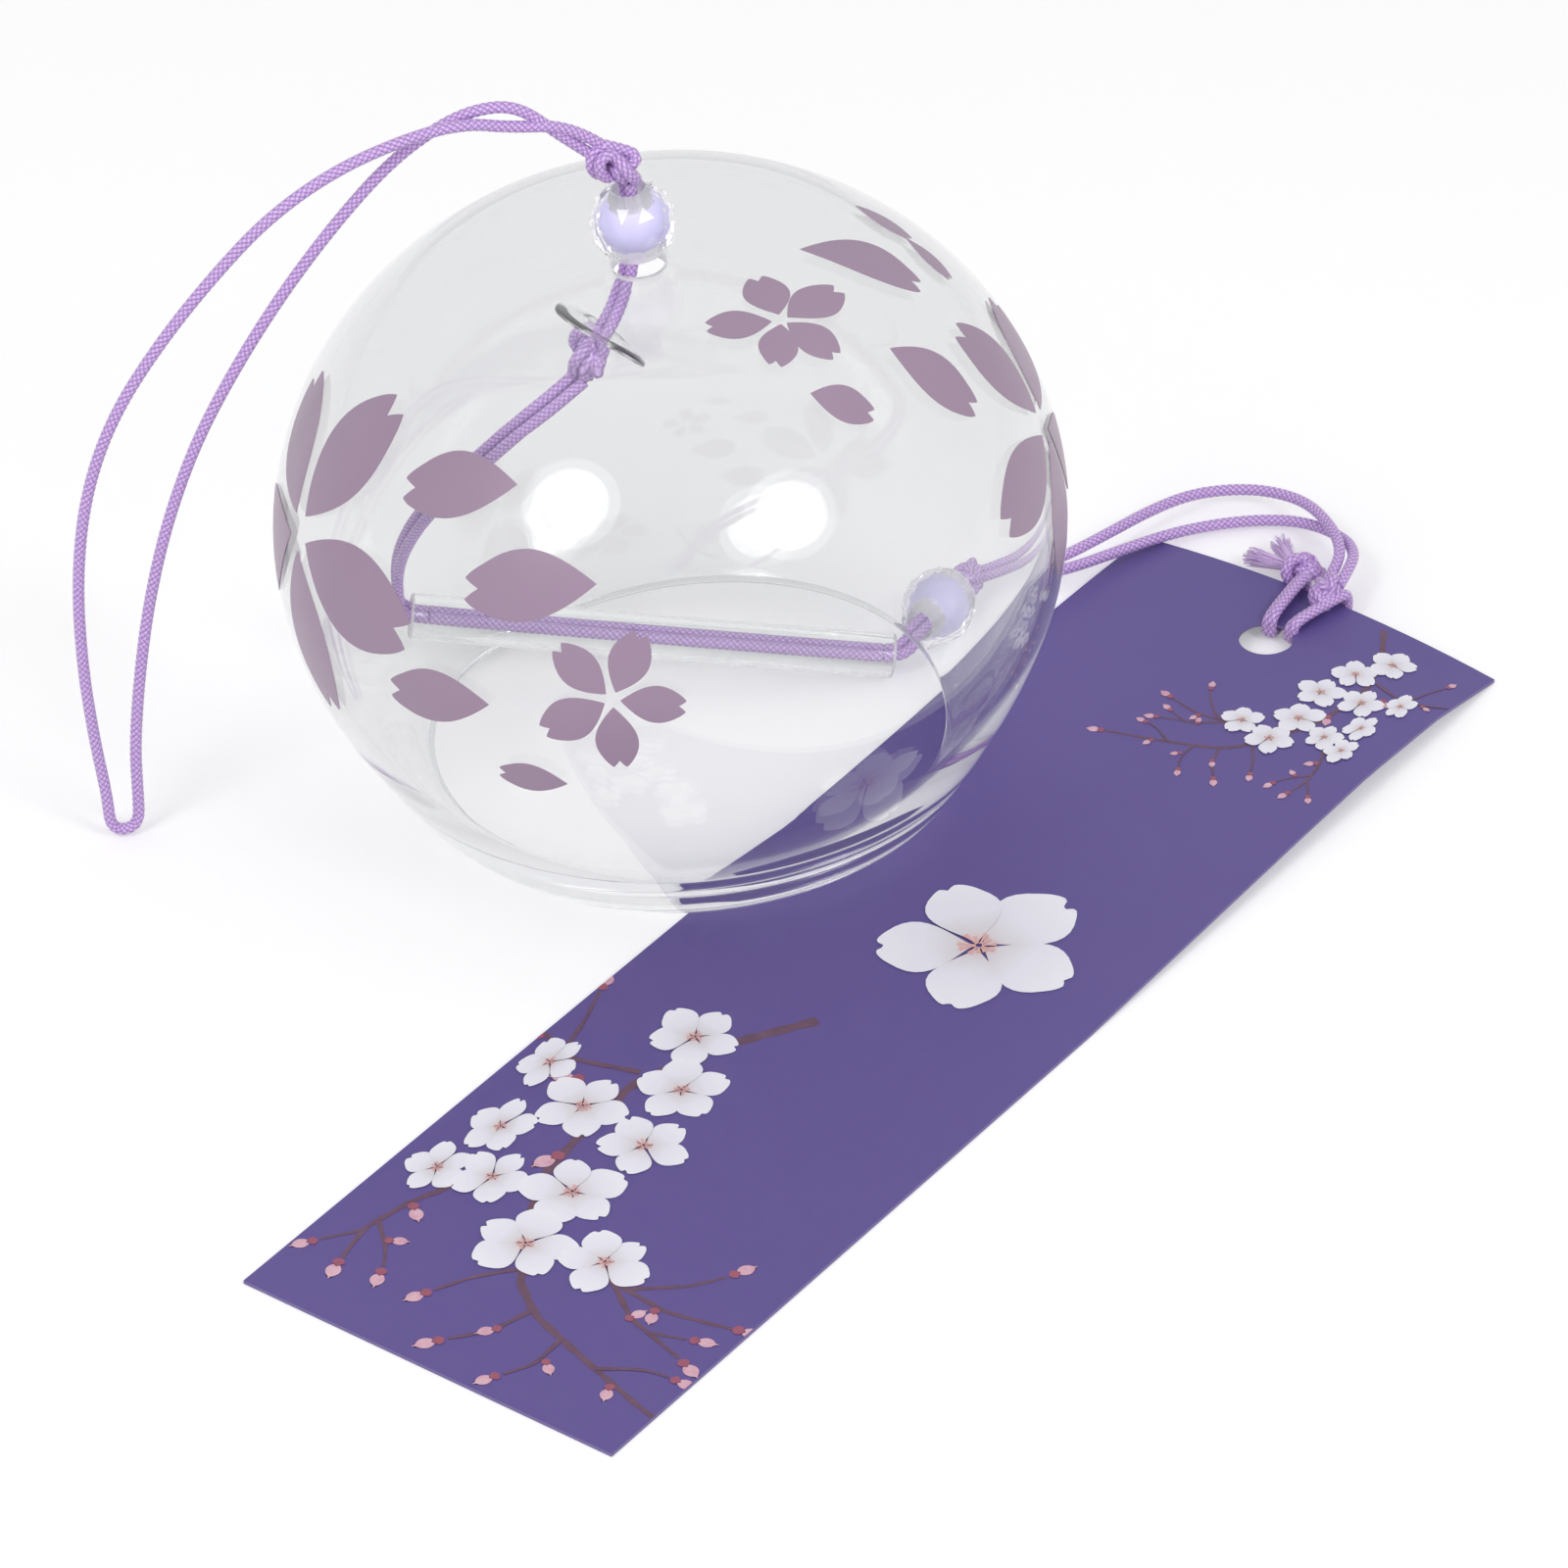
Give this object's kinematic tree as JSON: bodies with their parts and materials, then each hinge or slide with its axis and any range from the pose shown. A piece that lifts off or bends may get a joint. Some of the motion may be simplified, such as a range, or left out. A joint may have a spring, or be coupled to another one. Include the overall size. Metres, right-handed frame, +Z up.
{
  "type": "wind bell",
  "caption": "Round clear glass wind bell standing on its mouth, with a lilac cord loop, clear beads, a glass tube clapper and a long purple paper strip.",
  "frame": {"origin": "on the table, under the middle of the box round the bell, the beads, the tube and the strip", "axes": "+Z up from the table; +Y away from the viewer of the picture; +X to the right"},
  "size_m": [0.1318, 0.1435, 0.0738],
  "materials": {
    "clear_glass": "polished",
    "bead_clear": "polished",
    "clear_plastic": "polished",
    "bead_core": "satin",
    "cord": "braided",
    "paper": "matte"
  },
  "bodies": {
    "bell": {"glass_bell": "clear_glass", "drop_strand_left": "cord", "drop_strand_right": "cord", "inner_knot": "cord", "lead_strand_near": "cord", "lead_strand_far": "cord", "link_strand_near": "cord", "link_strand_far": "cord", "lower_knot": "cord", "tail_strand_upper": "cord", "tail_strand_lower": "cord"},
    "loop": {"top_knot": "cord", "hanging_loop": "cord"},
    "top_bead": {"top_bead_shell": "bead_clear", "top_bead_core": "bead_core"},
    "disc": {"stopper_disc": "clear_plastic"},
    "clapper": {"clapper_strand_near": "cord", "clapper_strand_far": "cord"},
    "tube": {"clapper_tube": "clear_glass"},
    "lower_bead": {"lower_bead_shell": "bead_clear", "lower_bead_core": "bead_core"},
    "strip": {"tanzaku": "paper", "hitch_leg_a": "cord", "hitch_leg_b": "cord", "hitch_crown": "cord", "tail_knot": "cord", "frayed_end_a": "cord", "frayed_end_b": "cord"}
  },
  "joints": [
    {"name": "loop_turn", "type": "hinge", "parent": "bell", "child": "loop", "pos_m": [-0.02324, 0.03254, 0.05521], "axis": [-0.0979, -0.0087, 0.9952], "range_deg": [-90, 90], "deforming": ["drop_strand_left", "drop_strand_right"]},
    {"name": "top_bead_spin", "type": "hinge", "parent": "bell", "child": "top_bead", "pos_m": [-0.02372, 0.03257, 0.05943], "axis": [-0.1129, 0.0079, 0.9936], "continuous": true},
    {"name": "disc_slide", "type": "slide", "parent": "bell", "child": "disc", "axis": [0.5456, 0.3449, 0.7638], "range_m": [0, 0.0017]},
    {"name": "clapper_swing", "type": "hinge", "parent": "bell", "child": "clapper", "pos_m": [0.00097, 0.04502, 0.00436], "axis": [0.0523, -0.9986, 0], "range_deg": [-20, 0], "deforming": ["lead_strand_near", "lead_strand_far", "link_strand_near", "link_strand_far"]},
    {"name": "tube_roll", "type": "hinge", "parent": "clapper", "child": "tube", "pos_m": [0.00067, 0.045, 0.00218], "axis": [0.9892, 0.0518, -0.1374], "continuous": true},
    {"name": "lower_bead_spin", "type": "hinge", "parent": "bell", "child": "lower_bead", "pos_m": [0.0057, 0.05023, 0.00385], "axis": [0.5878, 0.809, 0], "continuous": true},
    {"name": "strip_turn", "type": "hinge", "parent": "bell", "child": "strip", "pos_m": [0.04221, 0.05651, 0], "axis": [0, 0, 1], "range_deg": [0, 60], "deforming": ["tail_strand_upper", "tail_strand_lower"]}
  ]
}
